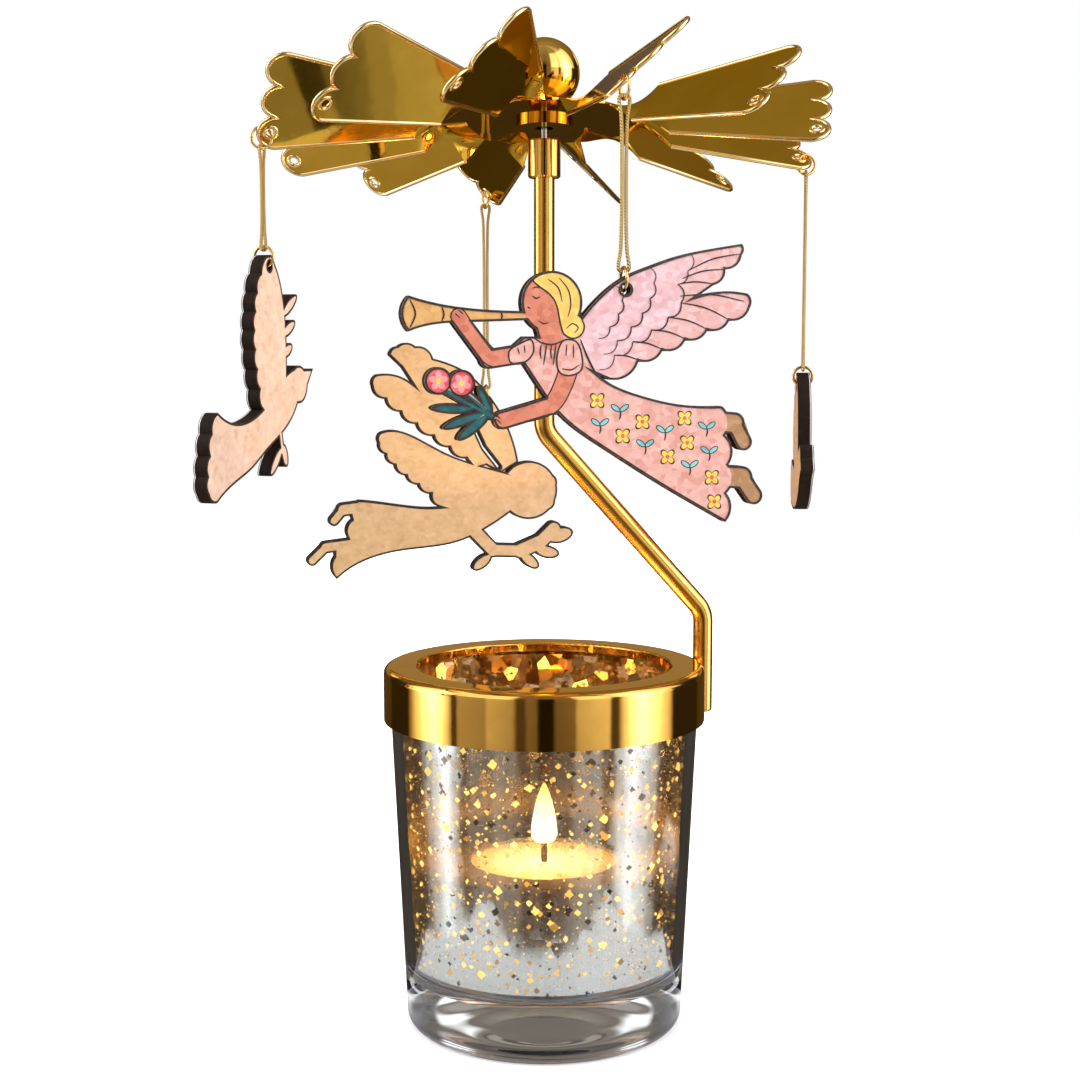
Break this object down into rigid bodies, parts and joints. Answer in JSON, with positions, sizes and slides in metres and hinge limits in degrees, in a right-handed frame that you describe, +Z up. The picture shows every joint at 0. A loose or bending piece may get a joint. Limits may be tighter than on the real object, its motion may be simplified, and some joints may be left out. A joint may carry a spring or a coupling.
{
  "type": "tealight carousel",
  "caption": "Tealight glass with a speckled silver lining and a gold collar, whose bent arm carries a bladed rotor on a needle with flat angel and dove charms hung on cords.",
  "frame": {"origin": "centre of the glass's flat base, on the table", "axes": "+Z up along the glass and the post, -Y to the front, where the trumpet angel faces, +X to the right"},
  "size_m": [0.1468, 0.1517, 0.2432],
  "materials": {
    "clear_glass": "clear, fire-polished",
    "silver_lining": "speckled silver",
    "gold": "polished gold plating",
    "gold_sheet": "mirror gold sheet",
    "gold_wire": "gold wire",
    "gold_cord": "metallic gold thread",
    "steel": "plain",
    "wood": "bare, burnt edges",
    "charm_print": "pearl print",
    "aluminium": "drawn foil",
    "wax": "soft wax",
    "wick": "charred cotton"
  },
  "bodies": {
    "glass": {"glass_tumbler": "clear_glass", "glass_lining": "silver_lining"},
    "collar": {"collar_ring": "gold", "arm_rod": "gold", "post_sleeve": "gold"},
    "needle": {"pivot_needle": "steel"},
    "rotor": {"rotor_vanes": "gold_sheet", "hub_bush": "gold", "hub_washer": "gold", "ball_finial": "gold"},
    "tealight": {"tealight_cup": "aluminium", "tealight_wax": "wax", "tealight_wick": "wick", "wick_tab": "steel"},
    "angel_front_hanger": {"angel_front_upper_ring": "gold_wire", "angel_front_cord": "gold_cord"},
    "angel_front_charm": {"angel_front_lower_ring": "gold_wire", "angel_front_board": "wood", "angel_front_print": "charm_print"},
    "dove_left_hanger": {"dove_left_upper_ring": "gold_wire", "dove_left_cord": "gold_cord"},
    "dove_left_charm": {"dove_left_lower_ring": "gold_wire", "dove_left_board": "wood", "dove_left_print": "charm_print"},
    "angel_back_hanger": {"angel_back_upper_ring": "gold_wire", "angel_back_cord": "gold_cord"},
    "angel_back_charm": {"angel_back_lower_ring": "gold_wire", "angel_back_board": "wood", "angel_back_print": "charm_print"},
    "dove_right_hanger": {"dove_right_upper_ring": "gold_wire", "dove_right_cord": "gold_cord"},
    "dove_right_charm": {"dove_right_lower_ring": "gold_wire", "dove_right_board": "wood", "dove_right_print": "charm_print"}
  },
  "joints": [
    {"name": "collar_lift", "type": "slide", "parent": "glass", "child": "collar", "axis": [0, 0, 1], "range_m": [0, 0.016]},
    {"name": "tealight_lift", "type": "slide", "parent": "glass", "child": "tealight", "axis": [0, 0, 1], "range_m": [0, 0.06]},
    {"name": "rotor_spin", "type": "hinge", "parent": "collar", "child": "needle", "pos_m": [0, 0, 0.2281], "axis": [0, 0, 1], "continuous": true},
    {"name": "rotor_rock", "type": "hinge", "parent": "needle", "child": "rotor", "pos_m": [0, 0, 0.2281], "axis": [1, 0, 0], "range_deg": [0, 10]},
    {"name": "angel_front_swing", "type": "hinge", "parent": "rotor", "child": "angel_front_hanger", "pos_m": [0.01626, -0.06648, 0.22304], "axis": [-0.9455, -0.3256, 0], "range_deg": [-8, 8]},
    {"name": "angel_front_twist", "type": "hinge", "parent": "angel_front_hanger", "child": "angel_front_charm", "pos_m": [0.01626, -0.06648, 0.18054], "axis": [0, 0, 1], "range_deg": [-40, 40]},
    {"name": "dove_left_swing", "type": "hinge", "parent": "rotor", "child": "dove_left_hanger", "pos_m": [-0.06579, -0.01715, 0.21872], "axis": [-0.3256, 0.9455, 0], "range_deg": [-8, 8]},
    {"name": "dove_left_twist", "type": "hinge", "parent": "dove_left_hanger", "child": "dove_left_charm", "pos_m": [-0.06579, -0.01715, 0.18772], "axis": [0, 0, 1], "range_deg": [-40, 40]},
    {"name": "angel_back_swing", "type": "hinge", "parent": "rotor", "child": "angel_back_hanger", "pos_m": [-0.01626, 0.06459, 0.21157], "axis": [0.9455, 0.3256, 0], "range_deg": [-8, 8]},
    {"name": "angel_back_twist", "type": "hinge", "parent": "angel_back_hanger", "child": "angel_back_charm", "pos_m": [-0.01626, 0.06459, 0.15377], "axis": [0, 0, 1], "range_deg": [-40, 40]},
    {"name": "dove_right_swing", "type": "hinge", "parent": "rotor", "child": "dove_right_hanger", "pos_m": [0.06579, 0.01526, 0.21589], "axis": [0.3256, -0.9455, 0], "range_deg": [-8, 8]},
    {"name": "dove_right_twist", "type": "hinge", "parent": "dove_right_hanger", "child": "dove_right_charm", "pos_m": [0.06579, 0.01526, 0.15939], "axis": [0, 0, 1], "range_deg": [-40, 40]}
  ]
}
